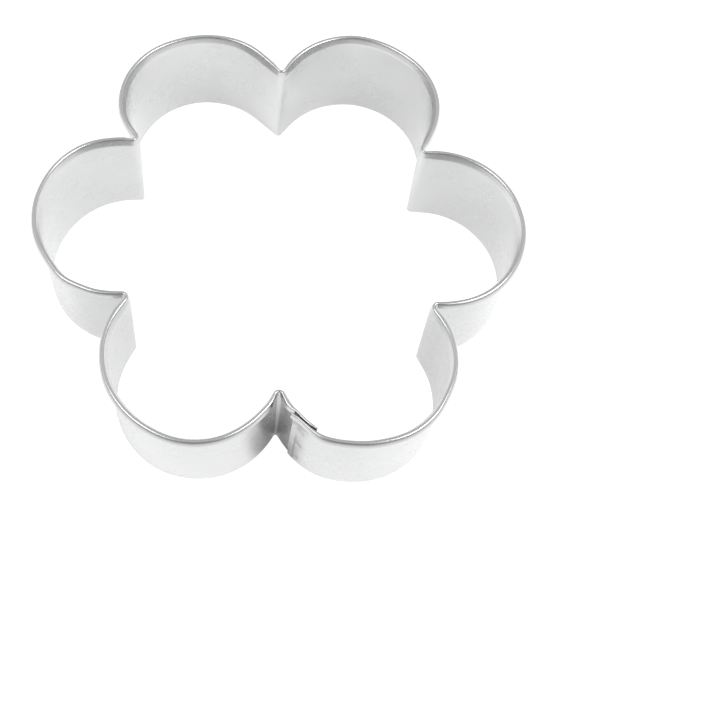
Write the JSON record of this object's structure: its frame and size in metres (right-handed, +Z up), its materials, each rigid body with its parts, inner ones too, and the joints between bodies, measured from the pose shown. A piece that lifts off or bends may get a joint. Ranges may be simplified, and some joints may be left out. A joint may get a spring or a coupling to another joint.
{
  "type": "biscuit cutter",
  "caption": "Flower-shaped biscuit cutter of bent tinplate strip with a rolled safe rim, a plain cutting edge and a spot-welded lap joint.",
  "frame": {"origin": "centre of the outline, in the plane of the cutting edge on which the cutter stands", "axes": "+Z up from the cutting edge to the rolled rim, -Y the front, where the strip's ends are lapped and welded, +X to the right"},
  "size_m": [0.0926, 0.0856, 0.0254],
  "materials": {
    "tinplate": "bright tinned sheet steel, satin to semi-gloss",
    "weld_upper": "fused steel, slightly dull",
    "weld_middle": "fused steel, slightly dull",
    "weld_lower": "fused steel, slightly dull"
  },
  "bodies": {
    "root": {"cutter_band": "tinplate", "spot_weld_upper": "weld_upper", "spot_weld_middle": "weld_middle", "spot_weld_lower": "weld_lower"}
  },
  "joints": []
}
